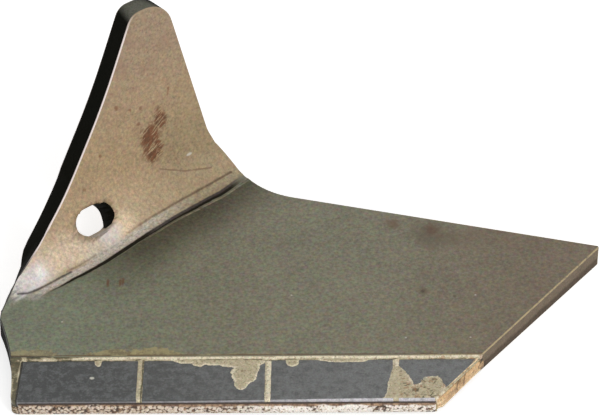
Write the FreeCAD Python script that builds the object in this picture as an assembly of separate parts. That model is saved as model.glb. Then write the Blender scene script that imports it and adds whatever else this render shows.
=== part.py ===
import FreeCAD, Part
import math
import os

# Wing share of a cultivator: a bent steel blade with an upright ear, and carbide tiles brazed
# into a stepped recess along its cutting edge.
# Millimetres and degrees. X runs along the cutting edge, Y goes back from it, Z is up. The blade
# is laid out from the left end of its cutting edge, and main() moves it to the row's origin.

# Blade outline, seen from above
plate_thickness = 10.0
cutting_edge_start = -1.4
cutting_edge_end = 164.6
right_tip_x = 231.4
right_tip_y = 86.1
back_corner_x = 93.8
back_corner_y = 120.6
back_hollow_radius = 34.0
front_left_radius = 2.5
right_tip_radius = 1.0
left_edge_hollow = 2.0

# Undercut of the sheared right side, at the tip and at the cutting edge
undercut_at_tip = 0.6
undercut_at_front = 1.4

# Bevel under the cutting edge
bevel_height = 1.2
bevel_width = 8.0

# Bend between the plate and the ear. Along the bend, places are measured from the point where the
# ear's flat face would meet the plate's face at the bend's left end.
ear_line_x = -2.9
ear_line_y = 75.5
bend_azimuth = 37.1
ear_lean = 9.5
groove_radius = 6.0
groove_turn = 38.0
bow_radius_left = 56.0
bow_radius_right = 18.0
bow_span = 101.2

# Side outlines of the bend, unrolled: place along the bend and length up the bent face. The sheet
# is stretched on the outer face of the bend, which draws its sides in there.
bend_left_points = [(-23.2, 0.0), (-18.5, 4.6), (-6.0, 12.3), (8.5, 19.1), (21.5, 27.1)]
bend_left_at_ear = 31.5
bend_right_points = [(105.3, 0.0), (104.5, 4.8), (102.4, 11.2)]
bend_right_at_ear = 99.0
bend_draw_in = 3.0
draw_in_until = 62.0

# Groove that the nose of the press tool left along the inside of the bend
imprint_radius = 7.0
imprint_depth = 0.65
imprint_setback = 1.1
imprint_fades_at = -7.0
imprint_full_at = 22.0

# Ear outline, along the bend and up the ear's face
ear_height = 87.8
ear_tip_left = 69.8
ear_tip_right = 86.4
ear_tip_left_radius = 6.5
ear_tip_right_radius = 12.0
ear_left_knee_along = 50.5
ear_left_knee_up = 55.0
ear_left_radius = 300.0
ear_right_knee_along = 96.4
ear_right_knee_up = 20.6
ear_right_radius = 20.0

# Slotted bolt hole, along the bend and up the bent face
slot_length = 18.4
slot_width = 12.4
slot_along = 35.1
slot_up = 14.8

# Carbide tiles in their recess
tile_thickness = 3.0
tile_width = 21.6
tile_drop = 0.9
bed_thickness = 0.3
rear_seam = 1.4
tile_seam = 2.2
tile_pitch = 50.0
first_tile_start = 1.2
first_seam_at = 48.5
end_tile_inset = 1.0

# Braze metal
seam_drop = 0.25
end_band_thickness = 0.9
end_band_height = 6.0
end_band_front_height = 7.5
end_band_root = 0.8

# Hardfacing bead on the front face
bead_height = 5.7
bead_top_drop = 2.9
bead_thickness = 1.3
bead_end_gap = 0.6

# How far cutters run past what they cut
past = 20.0


def vec(x, y, z=0.0):
    return FreeCAD.Vector(x, y, z)


def along(azimuth):
    """Unit vector in the plan at this angle from the cutting edge."""
    return vec(math.cos(math.radians(azimuth)), math.sin(math.radians(azimuth)))


up = vec(0, 0, 1)
bend_dir = along(bend_azimuth)
back_dir = along(bend_azimuth + 90)
full_turn = 90.0 - ear_lean
ear_up = back_dir * math.sin(math.radians(ear_lean)) + up * math.cos(math.radians(ear_lean))
ear_line_start = vec(ear_line_x, ear_line_y, plate_thickness)
recess_depth = tile_drop + tile_thickness + bed_thickness
recess_width = tile_width + rear_seam
tile_floor = plate_thickness - recess_depth + bed_thickness
tile_top = tile_floor + tile_thickness
right_edge = vec(right_tip_x - cutting_edge_end, right_tip_y)
right_edge_length = right_edge.Length
right_edge_dir = vec(right_edge.x, right_edge.y).normalize()


def filleted_path(corners, radii):
    """Edges through the corners, with an arc of the given radius at each inner corner."""
    edges = []
    start = corners[0]
    for before, corner, after, radius in zip(corners, corners[1:], corners[2:], radii):
        towards_before = (before - corner).normalize()
        towards_after = (after - corner).normalize()
        half_angle = towards_before.getAngle(towards_after) / 2
        reach = radius / math.tan(half_angle)
        middle_dir = (towards_before + towards_after).normalize()
        middle = corner + middle_dir * (radius / math.sin(half_angle) - radius)
        arc_start = corner + towards_before * reach
        arc_end = corner + towards_after * reach
        edges.append(Part.makeLine(start, arc_start))
        edges.append(Part.Arc(arc_start, middle, arc_end).toShape())
        start = arc_end
    edges.append(Part.makeLine(start, corners[-1]))
    return edges


def prism(edges, height):
    """Solid between a closed outline and its copy moved by height, a vector."""
    return Part.Face(Part.Wire(edges)).extrude(height)


def box(x0, x1, y0, y1, z0, z1):
    return Part.makeBox(x1 - x0, y1 - y0, z1 - z0, vec(x0, y0, z0))


def bow_radius(place):
    """Radius of the ear's curved foot, which tightens evenly from left to right."""
    return bow_radius_left + (bow_radius_right - bow_radius_left) * place / bow_span


def bend_profile(place, turn):
    """How far back and how high the sheet has come from the crease, after turning this much."""
    angle = math.radians(turn)
    groove = math.radians(groove_turn)
    if turn <= groove_turn:
        return groove_radius * math.sin(angle), groove_radius * (1 - math.cos(angle))
    bow = bow_radius(place)
    back = groove_radius * math.sin(groove) + bow * (math.sin(angle) - math.sin(groove))
    rise = groove_radius * (1 - math.cos(groove)) + bow * (math.cos(groove) - math.cos(angle))
    return back, rise


def crease_setback(place):
    """Distance from the crease to the line where the two flat faces would meet."""
    back, rise = bend_profile(place, full_turn)
    return back - rise * math.tan(math.radians(ear_lean))


def bend_point(place, turn):
    """Point on the upper face of the bend."""
    back, rise = bend_profile(place, turn)
    on_line = ear_line_start + bend_dir * place
    return on_line + back_dir * (back - crease_setback(place)) + up * rise


def bend_normal(turn):
    angle = math.radians(turn)
    return up * math.cos(angle) - back_dir * math.sin(angle)


def sheet_length(place, turn):
    """Length of the bent face from the crease to this turn, measured across the bend."""
    groove_length = groove_radius * math.radians(min(turn, groove_turn))
    return groove_length + bow_radius(place) * math.radians(max(turn - groove_turn, 0))


def turn_at(place, length):
    """Turn of the sheet at this length up the bent face."""
    groove_length = sheet_length(place, groove_turn)
    if length <= groove_length:
        return math.degrees(length / groove_radius)
    return groove_turn + math.degrees((length - groove_length) / bow_radius(place))


def flank(points, at_ear):
    """Unrolled side outline of the bend, a smooth curve from the plate to the ear."""
    places = [vec(place, length) for place, length in points]
    places.append(vec(at_ear, sheet_length(at_ear, full_turn)))
    curve = Part.BSplineCurve()
    curve.interpolate(places)
    return curve


def left_flank():
    return flank(bend_left_points, bend_left_at_ear)


def right_flank():
    return flank(bend_right_points, bend_right_at_ear)


def flank_point(outline, turn):
    """Point of the upper face where this side outline has the given turn."""
    low, high = outline.FirstParameter, outline.LastParameter
    for halving in range(50):
        middle = (low + high) / 2
        unrolled = outline.value(middle)
        if turn_at(unrolled.x, unrolled.y) < turn:
            low = middle
        else:
            high = middle
    return bend_point(outline.value(low).x, turn)


def bend_corners(turn):
    """The four corners of the sheet's cross-section on the ruling with this turn."""
    left = flank_point(left_flank(), turn)
    right = flank_point(right_flank(), turn)
    through = bend_normal(turn) * -plate_thickness
    draw_in = bend_draw_in * math.sin(math.pi * min(turn / draw_in_until, 1)) ** 2
    inwards = (right - left).normalize() * draw_in
    return [left, right, right + through - inwards, left + through + inwards]


def bend_piece(first_turn, last_turn, steps):
    """Solid of the sheet between two turns, with its faces stretched between its four long edges."""
    turns = [first_turn + (last_turn - first_turn) * step / steps for step in range(steps + 1)]
    sections = [bend_corners(turn) for turn in turns]
    edges = []
    for places in zip(*sections):
        curve = Part.BSplineCurve()
        curve.interpolate(Points=list(places), Parameters=turns)
        edges.append(curve.toShape())
    faces = [Part.makeRuledSurface(edge, edges[number - 1]) for number, edge in enumerate(edges)]
    for section in (sections[0], sections[-1]):
        faces.append(Part.Face(Part.makePolygon(section + section[:1])))
    shell = Part.makeShell(faces)
    shell.sewShape()
    return Part.makeSolid(shell)


def plate_outline():
    """Plan of the flat plate, from the bend's left end round to its right end, at height 0."""
    crease_left = flank_point(left_flank(), 0)
    crease_right = flank_point(right_flank(), 0)
    crease_left.z = 0
    crease_right.z = 0
    corners = [
        crease_left,
        vec(cutting_edge_start, 0),
        vec(cutting_edge_end, 0),
        vec(right_tip_x, right_tip_y),
        vec(back_corner_x, back_corner_y),
        crease_right,
    ]
    radii = [front_left_radius, 0.3, right_tip_radius, back_hollow_radius]
    edges = filleted_path(corners, radii)
    # The left edge is hollow between the crease and the rounded front corner
    left_start = edges[0].Vertexes[0].Point
    left_end = edges[0].Vertexes[-1].Point
    inwards = up.cross(left_end - left_start).normalize()
    left_middle = (left_start + left_end) / 2 + inwards * left_edge_hollow
    edges[0] = Part.Arc(left_start, left_middle, left_end).toShape()
    edges.append(Part.makeLine(crease_right, crease_left))
    return edges


def ear_point(place, height):
    """Point on the ear's flat front face."""
    return ear_line_start + bend_dir * place + ear_up * height


def ear_outline():
    foot_left = bend_point(bend_left_at_ear, full_turn)
    foot_right = bend_point(bend_right_at_ear, full_turn)
    corners = [
        foot_left,
        ear_point(ear_left_knee_along, ear_left_knee_up),
        ear_point(ear_tip_left, ear_height),
        ear_point(ear_tip_right, ear_height),
        ear_point(ear_right_knee_along, ear_right_knee_up),
        foot_right,
    ]
    radii = [ear_left_radius, ear_tip_left_radius, ear_tip_right_radius, ear_right_radius]
    edges = filleted_path(corners, radii)
    edges.append(Part.makeLine(foot_right, foot_left))
    return edges


def slot_turn():
    return turn_at(slot_along, slot_up)


def slot_cutter():
    """Round-ended prism through the sheet, square to the bent face at the slot's middle."""
    turn = slot_turn()
    normal = bend_normal(turn)
    across = normal.cross(bend_dir)
    centre = bend_point(slot_along, turn) - normal * (plate_thickness + past)
    half_straight = (slot_length - slot_width) / 2
    radius = slot_width / 2
    left = centre - bend_dir * half_straight
    right = centre + bend_dir * half_straight
    edges = [
        Part.makeLine(left + across * radius, right + across * radius),
        Part.Arc(right + across * radius, right + bend_dir * radius, right - across * radius).toShape(),
        Part.makeLine(right - across * radius, left - across * radius),
        Part.Arc(left - across * radius, left - bend_dir * radius, left + across * radius).toShape(),
    ]
    return prism(edges, normal * (plate_thickness + 2 * past))


def imprint_cutter():
    """Round bar lying along the crease, whose left end tapers off out of the metal."""
    crease_start = bend_point(imprint_fades_at, 0)
    axis = (bend_point(imprint_full_at, 0) - crease_start).normalize()
    forwards = axis.cross(up)
    start = crease_start + forwards * imprint_setback + up * (imprint_radius - imprint_depth)
    full = start + (bend_point(imprint_full_at, 0) - crease_start)
    end = full + axis * (cutting_edge_end + past)
    tapered = imprint_radius - imprint_depth
    taper_run = (full - start).Length
    taper_radius = (taper_run ** 2 + imprint_depth ** 2) / (2 * imprint_depth)
    halfway = taper_radius - math.sqrt(taper_radius ** 2 - taper_run ** 2 / 4)
    profile = [
        Part.makeLine(start, start + forwards * tapered),
        Part.Arc(
            start + forwards * tapered,
            (start + full) / 2 + forwards * (imprint_radius - halfway),
            full + forwards * imprint_radius,
        ).toShape(),
        Part.makeLine(full + forwards * imprint_radius, end + forwards * imprint_radius),
        Part.makeLine(end + forwards * imprint_radius, end),
        Part.makeLine(end, start),
    ]
    return Part.Face(Part.Wire(profile)).revolve(start, axis, 360)


def recess_cutter():
    floor = plate_thickness - recess_depth
    return box(-past, right_tip_x, -past, recess_width, floor, plate_thickness + past)


def bevel_cutter():
    """Wedge under the cutting edge."""
    corners = [
        vec(-past, 0, -past),
        vec(-past, 0, bevel_height),
        vec(-past, bevel_width, 0),
        vec(-past, bevel_width, -past),
    ]
    wedge = Part.makePolygon(corners + corners[:1])
    return Part.Face(wedge).extrude(vec(right_tip_x + 2 * past, 0, 0))


def undercut():
    """Wedge that slants the right side inwards from its upper edge to its lower one."""
    outwards = right_edge_dir.cross(up)

    def section(run, inset):
        top = vec(cutting_edge_end, 0, plate_thickness) + right_edge_dir * run
        bottom = top - up * plate_thickness
        return Part.makePolygon([top, bottom - outwards * inset, bottom + outwards * past, top])

    front = section(0, undercut_at_front)
    tip = section(right_edge_length, undercut_at_tip)
    return Part.makeLoft([front, tip], True, True)


def flat_plate():
    return prism(plate_outline(), up * plate_thickness).cut(undercut())


def wing_blade():
    """The bent sheet, with its slot, punch imprint, tile recess and bevel."""
    groove = bend_piece(0, groove_turn, 4)
    bow = bend_piece(groove_turn, full_turn, 6)
    ear = prism(ear_outline(), bend_normal(full_turn) * -plate_thickness)
    blade = flat_plate().multiFuse([groove, bow, ear])
    cutters = [slot_cutter(), imprint_cutter(), recess_cutter(), bevel_cutter()]
    for cutter in cutters:
        blade = blade.cut(cutter)
    return blade


def seam_places():
    return [first_seam_at + tile_pitch * number for number in range(3)]


def tile(x0, x1):
    return box(x0, x1, 0, tile_width, tile_floor, tile_top)


def carbide_tiles():
    """Three tiles between the seams, of which the first is cut shorter."""
    ends = [seam - tile_seam / 2 for seam in seam_places()]
    starts = [first_tile_start] + [seam + tile_seam / 2 for seam in seam_places()]
    return [tile(start, end) for start, end in zip(starts, ends)]


def right_edge_x(y):
    return cutting_edge_end + right_edge.x / right_edge.y * y


def carbide_end_tile():
    """Last tile, whose outer end is ground along the blade's right edge."""
    start = seam_places()[-1] + tile_seam / 2
    inset = end_tile_inset
    corners = [
        vec(start, 0, tile_floor),
        vec(right_edge_x(0) - inset, 0, tile_floor),
        vec(right_edge_x(tile_width) - inset, tile_width, tile_floor),
        vec(start, tile_width, tile_floor),
    ]
    return Part.Face(Part.makePolygon(corners + corners[:1])).extrude(up * tile_thickness)


def end_band():
    """Fillet of braze down the blade's slanted right side, taller at the cutting edge."""
    outwards = right_edge_dir.cross(up)

    def section(y, height):
        top = vec(right_edge_x(y), y, tile_top)
        bottom = top - up * height
        bulge = (top + bottom) / 2 + outwards * end_band_thickness
        arc = Part.Arc(bottom, bulge, top).toShape()
        root = outwards * -end_band_root
        back = Part.makePolygon([top, top + root, bottom + root - outwards, bottom])
        return Part.Wire([arc] + back.Edges)

    ends = [section(0, end_band_front_height), section(recess_width, end_band_height)]
    return Part.makeLoft(ends, True, True).cut(flat_plate())


def braze_filler(tiles):
    """Everything in the recess that isn't tile, with the run-over patches and the end band."""
    floor = plate_thickness - recess_depth
    filler = box(-past, right_tip_x, 0, recess_width, floor, tile_top - seam_drop)
    rear = box(-past, right_tip_x, tile_width, recess_width, floor, tile_top)
    filler = filler.fuse(rear).common(flat_plate())
    for carbide in tiles:
        filler = filler.cut(carbide)
    return filler.fuse(end_band())


def edge_hardfacing():
    """Bead of hard granules along the front face, below the tiles."""
    top = tile_top - bead_top_drop + tile_drop
    bottom = top - bead_height
    profile = [
        Part.makeLine(vec(0, 0, bottom), vec(0, 0, top)),
        Part.Arc(vec(0, 0, top), vec(0, -bead_thickness, (top + bottom) / 2), vec(0, 0, bottom)).toShape(),
    ]
    start = cutting_edge_start + front_left_radius
    bead = prism(profile, vec(cutting_edge_end - bead_end_gap - start, 0, 0))
    bead.translate(vec(start, 0, 0))
    return bead


def main():
    tiles = carbide_tiles()
    end_tile = carbide_end_tile()
    nodes = {"wing_blade": wing_blade()}
    for number, carbide in enumerate(tiles, 1):
        nodes["carbide_tile_" + str(number)] = carbide
    nodes["carbide_end_tile"] = end_tile
    nodes["braze_filler"] = braze_filler(tiles + [end_tile])
    nodes["edge_hardfacing"] = edge_hardfacing()

    # The row's origin is the middle of the part's box, on the plane of the underside
    whole = Part.makeCompound(list(nodes.values())).optimalBoundingBox(False, False)
    shift = vec(-whole.Center.x, -whole.Center.y)
    os.makedirs("parts", exist_ok=True)
    for name, shape in nodes.items():
        shape.translate(shift)
        shape.exportStep("parts/" + name + ".step")


main()
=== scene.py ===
import math
from functools import reduce

import bmesh
import bpy
import numpy as np
from mathutils import Matrix, Vector


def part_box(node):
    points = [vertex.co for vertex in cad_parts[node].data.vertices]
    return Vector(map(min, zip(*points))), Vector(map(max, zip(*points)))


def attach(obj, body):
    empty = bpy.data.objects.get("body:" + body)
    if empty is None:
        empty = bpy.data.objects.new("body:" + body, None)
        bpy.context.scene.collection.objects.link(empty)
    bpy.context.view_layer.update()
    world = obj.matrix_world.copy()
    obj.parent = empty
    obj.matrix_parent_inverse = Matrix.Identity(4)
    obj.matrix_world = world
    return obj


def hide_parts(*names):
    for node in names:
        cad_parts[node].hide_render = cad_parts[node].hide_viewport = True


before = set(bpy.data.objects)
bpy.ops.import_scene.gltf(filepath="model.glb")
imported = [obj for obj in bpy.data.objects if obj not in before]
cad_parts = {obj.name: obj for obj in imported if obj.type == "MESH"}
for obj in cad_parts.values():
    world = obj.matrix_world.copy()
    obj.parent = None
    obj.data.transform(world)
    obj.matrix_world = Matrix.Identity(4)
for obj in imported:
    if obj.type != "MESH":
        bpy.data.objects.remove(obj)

bl_info = {
    "name": "Cultivator Wing Share",
    "version": (1, 0, 0),
    "blender": (4, 5, 0),
    "location": "View3D > Sidebar > Wing Share",
    "description": "Dresses the packed wing share: bent blade, carbide tiles, braze and hardfacing",
    "category": "Object",
}

# Places below are in millimetres from the left end of the cutting edge: X runs along the edge,
# Y goes back from it, Z is up from the underside. The first tile starts 1.2 mm from that end.
MM = 0.001
TILE_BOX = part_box("carbide_tile_1")
EDGE_END = np.array([TILE_BOX[0].x - 1.2 * MM, TILE_BOX[0].y, 0.0])
TILE_TOP = TILE_BOX[1].z / MM
TILE_BACK = (TILE_BOX[1].y - TILE_BOX[0].y) / MM
PLATE_TOP = 10.0
RECESS_BACK = 23.0
RECESS_FLOOR = 5.8
# Start and end of each of the three straight tiles
TILE_ENDS = [[(corner.x - EDGE_END[0]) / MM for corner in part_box("carbide_tile_%d" % n)] for n in (1, 2, 3)]
SEAM_WIDTH = 2.2
# Left side of the first tile: its place at the front, and how far it leans in per millimetre back
TILE_LEAN = (0.75, 0.055)
END_TILE_START = TILE_ENDS[2][1] + SEAM_WIDTH
END_TILE_INSET = 1.0
BRAZE_BED = 0.3
CUTTING_START = -1.4
CUTTING_END = 164.6
# The right side slants from the cutting edge to the tip, this far along and back
RIGHT_SIDE = (66.8, 86.1)
RIGHT_SLOPE = RIGHT_SIDE[0] / RIGHT_SIDE[1]
RIGHT_OUT = np.array([RIGHT_SIDE[1], -RIGHT_SIDE[0]]) / math.hypot(*RIGHT_SIDE)
BEND_AZIMUTH = math.radians(37.1)
BEND_RUN = (math.cos(BEND_AZIMUTH), math.sin(BEND_AZIMUTH), 0.0)
BEND_START = (-2.9, 75.5, 10.0)
EAR_LEAN = math.radians(9.5)
SLOT_CENTRE = (24.9, 97.0, 15.9)
# At the slot: which way the sheet faces, and which way its surface climbs
SLOT_FACING = (0.19, -0.26, 0.95)
SLOT_CLIMB = (-0.57, 0.77, 0.31)
# Places of the blade's materials: mill scale, sheared side, and rubbed corner with painted highlight and
# shade
SCALE, SHEARED, RUBBED_AND_LIT = 0, 1, 2

# Random patterns repeat after this many cells
TABLE_CELLS = 256

# CAD box, before anything is added
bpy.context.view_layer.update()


def place(x, y, z):
    """Points in the frame, in metres, from millimetres along the edge, back and up."""
    return np.stack(np.broadcast_arrays(x, y, z), axis=-1) * MM + EDGE_END


def ease(value):
    """0 below 0 and 1 above 1, with a smooth step 3t^2 - 2t^3 between."""
    t = np.clip(value, 0.0, 1.0)
    return t * t * (3.0 - 2.0 * t)


def peak(value, middle, width):
    """exp(-t^2), where t is the distance from the middle in widths."""
    return np.exp(-((value - middle) / width) ** 2)


def random_waves(x, y, cell, seed):
    """Random heights from -1 to 1 at the corners of square cells, blended smoothly in between."""
    table = np.random.default_rng(seed).uniform(-1.0, 1.0, (TABLE_CELLS, TABLE_CELLS))
    u, v = np.asarray(x) / cell, np.asarray(y) / cell
    i, j = np.floor(u).astype(int), np.floor(v).astype(int)
    s, t = ease(u - i), ease(v - j)

    def corner(a, b):
        """Heights at this corner of the cell that each point lies in."""
        return table[(i + a) % TABLE_CELLS, (j + b) % TABLE_CELLS]

    near = corner(0, 0) * (1 - s) + corner(1, 0) * s
    far = corner(0, 1) * (1 - s) + corner(1, 1) * s
    return near * (1 - t) + far * t


def rough_waves(x, y, cell, seed, octaves=3):
    """Sum of random waves, each half the size and half the height of the one before."""
    total = 0.0
    for step in range(octaves):
        total = total + random_waves(x, y, cell / 2 ** step, seed + step) / 2 ** step
    return total


def grains(x, y, cell, seed):
    """Round grains, one in each square cell at a random place: 1 in a grain's middle, falling
    with the distance to 0 between grains, and a random number for each grain."""
    random = np.random.default_rng(seed)
    jitter_x, jitter_y, tags = random.uniform(0, 1, (3, TABLE_CELLS, TABLE_CELLS))
    u, v = np.asarray(x) / cell, np.asarray(y) / cell
    i, j = np.floor(u).astype(int), np.floor(v).astype(int)
    nearest = np.full(u.shape, 9.0)
    tag = np.zeros(u.shape)
    for a in (-1, 0, 1):
        for b in (-1, 0, 1):
            at = (i + a) % TABLE_CELLS, (j + b) % TABLE_CELLS
            away = np.hypot(i + a + jitter_x[at] - u, j + b + jitter_y[at] - v)
            tag = np.where(away < nearest, tags[at], tag)
            nearest = np.minimum(away, nearest)
    return np.clip(1.0 - nearest, 0.0, 1.0), tag


def closed_grid(name, upper, lower, attributes=None):
    """Mesh between two matching grids of points: quads over each grid, and a strip of quads that
    joins their borders. Attributes are values on the upper grid's points."""
    rows, columns = upper.shape[:2]
    index = np.arange(rows * columns).reshape(rows, columns)
    quads = np.stack([index[:-1, :-1], index[1:, :-1], index[1:, 1:], index[:-1, 1:]], axis=-1)
    quads = quads.reshape(-1, 4)
    count = rows * columns
    rim = np.concatenate([index[:-1, 0], index[-1, :-1], index[:0:-1, -1], index[0, :0:-1]])
    after = np.roll(rim, -1)
    sides = np.stack([rim + count, after + count, after, rim], axis=-1)
    faces = np.concatenate([quads, quads[:, ::-1] + count, sides])
    points = np.concatenate([upper.reshape(-1, 3), lower.reshape(-1, 3)])
    mesh = bpy.data.meshes.new(name)
    mesh.vertices.add(len(points))
    mesh.vertices.foreach_set("co", points.ravel())
    mesh.loops.add(faces.size)
    mesh.loops.foreach_set("vertex_index", faces.ravel())
    mesh.polygons.add(len(faces))
    mesh.polygons.foreach_set("loop_start", np.arange(0, faces.size, 4))
    mesh.polygons.foreach_set("use_smooth", np.ones(len(faces), bool))
    mesh.update(calc_edges=True)
    for label, values in (attributes or {}).items():
        layer = mesh.attributes.new(label, "FLOAT", "POINT")
        layer.data.foreach_set("value", np.concatenate([values.ravel(), values.ravel()]))
    if mesh.validate():
        raise RuntimeError(name + " has broken faces")
    return mesh


def add_object(name, data):
    """Puts a mesh, a lamp or a camera in the scene."""
    made = bpy.data.objects.new(name, data)
    bpy.context.scene.collection.objects.link(made)
    return made


def add_piece(name, mesh, materials, nodes):
    """Puts a mesh in the scene as a piece that rides on the part and stands for its CAD nodes."""
    piece = add_object(name, mesh)
    for material in materials:
        mesh.materials.append(material)
    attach(piece, "root")
    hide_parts(*nodes)
    return piece


class Wires:
    """Builds a node tree: each call adds nodes and returns the output that is used next. Wherever
    a value goes in, a tuple that starts with an output stands for a smooth step of that output."""

    def __init__(self, tree):
        self.tree = tree

    def add(self, kind, inputs, **settings):
        """A new node with these settings and inputs; its outputs come back."""
        made = self.tree.nodes.new(kind)
        for name, value in settings.items():
            setattr(made, name, value)
        self.put(made, inputs)
        return made.outputs

    def put(self, node, inputs):
        """Gives the node's inputs their links or values."""
        for name, value in inputs.items():
            socket = node.inputs[name]
            if isinstance(value, tuple) and isinstance(value[0], bpy.types.NodeSocket):
                value = self.between(*value)
            if isinstance(value, bpy.types.NodeSocket):
                self.tree.links.new(value, socket)
            elif socket.type == "RGBA" and len(value) == 3:
                socket.default_value = (*value, 1)
            else:
                socket.default_value = value

    def math(self, operation, a, b=0, clamp=False):
        """One step of arithmetic."""
        return self.add("ShaderNodeMath", {0: a, 1: b}, operation=operation, use_clamp=clamp)[0]

    def times(self, *values):
        """Product of the values."""
        return reduce(lambda a, b: self.math("MULTIPLY", a, b), values)

    def plus(self, *values):
        """Sum of the values."""
        return reduce(lambda a, b: self.math("ADD", a, b), values)

    def minus(self, a, b):
        """What is left of a without b."""
        return self.math("SUBTRACT", a, b)

    def most(self, *values):
        """The largest of the values, point by point."""
        return reduce(lambda a, b: self.math("MAXIMUM", a, b), values)

    def swing(self, noise, amount):
        """Noise that swings to both sides of 0."""
        return self.times(self.minus(noise, 0.5), amount)

    def between(self, value, low, high, to_low=0, to_high=1):
        """Smooth step from to_low to to_high as the value goes from low to high."""
        inputs = {"Value": value, "From Min": low, "From Max": high, "To Min": to_low, "To Max": to_high}
        return self.add("ShaderNodeMapRange", inputs, interpolation_type="SMOOTHSTEP")["Result"]

    def vector_math(self, operation, a, b=(0, 0, 0), output="Vector"):
        """One step of arithmetic on vectors."""
        return self.add("ShaderNodeVectorMath", {0: a, 1: b}, operation=operation)[output]

    def length(self, vector):
        """Length of a vector."""
        return self.vector_math("LENGTH", vector, output="Value")

    def dot(self, a, b):
        """Length of one vector along the other, times the other's."""
        return self.vector_math("DOT_PRODUCT", a, b, "Value")

    def split(self, vector):
        """The vector's three coordinates."""
        return self.add("ShaderNodeSeparateXYZ", {0: vector})

    def mapped(self, vector, kind="POINT", **inputs):
        """The vector moved, turned and scaled."""
        return self.add("ShaderNodeMapping", {"Vector": vector, **inputs}, vector_type=kind)["Vector"]

    def mix(self, factor, a, b, blend="MIX"):
        """Colour between a, at factor 0, and b, at factor 1."""
        inputs = {0: factor, 6: a, 7: b}
        return self.add("ShaderNodeMix", inputs, data_type="RGBA", blend_type=blend)[2]

    def noise(self, vector, scale, detail=3, roughness=0.55, output="Fac", offset=None):
        """Cloudy noise, whose blotches get smaller as the scale grows."""
        if offset:
            vector = self.vector_math("ADD", vector, offset)
        inputs = {"Vector": vector, "Scale": scale, "Detail": detail, "Roughness": roughness}
        return self.add("ShaderNodeTexNoise", inputs)[output]

    def attribute(self, name):
        """A value that the mesh carries at its points."""
        return self.add("ShaderNodeAttribute", {}, attribute_name=name)["Fac"]

    def group(self, name, inputs):
        """One of the shared groups, which is built when it is first used."""
        tree = bpy.data.node_groups.get(name) or SHARED_GROUPS[name](name)
        return self.add("ShaderNodeGroup", inputs, node_tree=tree)


def new_group(name, inputs, outputs):
    """Shader node group with named sockets, whose kinds follow from their defaults."""
    tree = bpy.data.node_groups.new(name, "ShaderNodeTree")
    for side, sockets in (("INPUT", inputs), ("OUTPUT", outputs)):
        for label, default in sockets.items():
            kind = {3: "Vector", 4: "Color"}[len(default)] if isinstance(default, tuple) else "Float"
            socket = tree.interface.new_socket(label, in_out=side, socket_type="NodeSocket" + kind)
            socket.default_value = default
    wires = Wires(tree)
    return wires, wires.add("NodeGroupInput", {}), tree.nodes.new("NodeGroupOutput")


def spot_group(name):
    """Mask of a ragged spot: 1 where the distance to its centre, measured in the spot's own
    half sizes and shaken by noise, is under 1, fading to 0."""
    inputs = {"Vector": (0, 0, 0), "Centre": (0, 0, 0), "Half Size": (1, 1, 1), "Raggedness": 0.6,
              "Noise Scale": 1, "Softness": 0.3}
    wires, given, out = new_group(name, inputs, {"Mask": 0})
    away = wires.vector_math("SUBTRACT", given["Vector"], given["Centre"])
    distance = wires.length(wires.vector_math("DIVIDE", away, given["Half Size"]))
    noise = wires.noise(given["Vector"], given["Noise Scale"], 4, 0.65)
    distance = wires.plus(distance, wires.times(wires.swing(noise, given["Raggedness"]), 2))
    low, high = wires.minus(1, given["Softness"]), wires.plus(1, given["Softness"])
    wires.put(out, {"Mask": (distance, low, high, 1, 0)})
    return wires.tree


def scratch_group(name):
    """Mask of a scratch: 1 within its half width of the line from Start to End, fading to 0."""
    inputs = {"Vector": (0, 0, 0), "Start": (0, 0, 0), "End": (10, 0, 0), "Half Width": 0.3}
    wires, given, out = new_group(name, inputs, {"Mask": 0})
    away = wires.vector_math("SUBTRACT", given["Vector"], given["Start"])
    run = wires.vector_math("SUBTRACT", given["End"], given["Start"])
    along = wires.math("DIVIDE", wires.dot(away, run), wires.dot(run, run), clamp=True)
    nearest = wires.add("ShaderNodeVectorMath", {0: run, "Scale": along}, operation="SCALE")["Vector"]
    distance = wires.length(wires.vector_math("SUBTRACT", away, nearest))
    wander = wires.swing(wires.noise(given["Vector"], 0.35), 0.6)
    wires.put(out, {"Mask": (wires.plus(distance, wander), 0, given["Half Width"], 1, 0)})
    return wires.tree


def grain_group(name):
    """Mottling and fine grain on a colour: two sizes of noise lighten and darken it, a third shifts
    its hue and a fourth tints it. The height is the fine grain with a little of the mottling."""
    inputs = {"Vector": (0, 0, 0), "Color": (0.2, 0.2, 0.2, 1), "Tint": (0.25, 0.15, 0.1, 1),
              "Mottle Size": 12, "Grain Size": 0.8, "Amount": 0.25, "Hue Amount": 0.2, "Tint Amount": 0.2}
    wires, given, out = new_group(name, inputs, {"Color": (0, 0, 0, 1), "Height": 0})
    vector = given["Vector"]
    mottle = wires.noise(vector, wires.math("DIVIDE", 1, given["Mottle Size"]), 4, 0.6)
    fine = wires.math("DIVIDE", 1, given["Grain Size"])
    grain = wires.noise(vector, fine, 3, 0.7)
    hue = wires.noise(vector, wires.times(fine, 0.6), 3, 0.7, output="Color")
    tint = wires.noise(vector, wires.math("DIVIDE", 2.5, given["Mottle Size"]), 5, 0.7,
                       offset=(31, 17, 5))
    gain = wires.plus(wires.swing(mottle, 0.45), wires.swing(grain, 1.7))
    gain = wires.plus(wires.times(gain, given["Amount"], 2), 1)
    grey = wires.add("ShaderNodeCombineColor", {0: gain, 1: gain, 2: gain})[0]
    colour = wires.mix(1, given["Color"], grey, "MULTIPLY")
    shifted = wires.mix(1, colour, wires.mix(1, hue, (2, 2, 2), "MULTIPLY"), "MULTIPLY")
    colour = wires.mix(given["Hue Amount"], colour, shifted)
    spread = wires.times((tint, 0.5, 0.72), given["Tint Amount"])
    wires.put(out, {"Color": wires.mix(spread, colour, given["Tint"]),
                    "Height": wires.plus(grain, wires.times(mottle, 0.5))})
    return wires.tree


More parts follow.
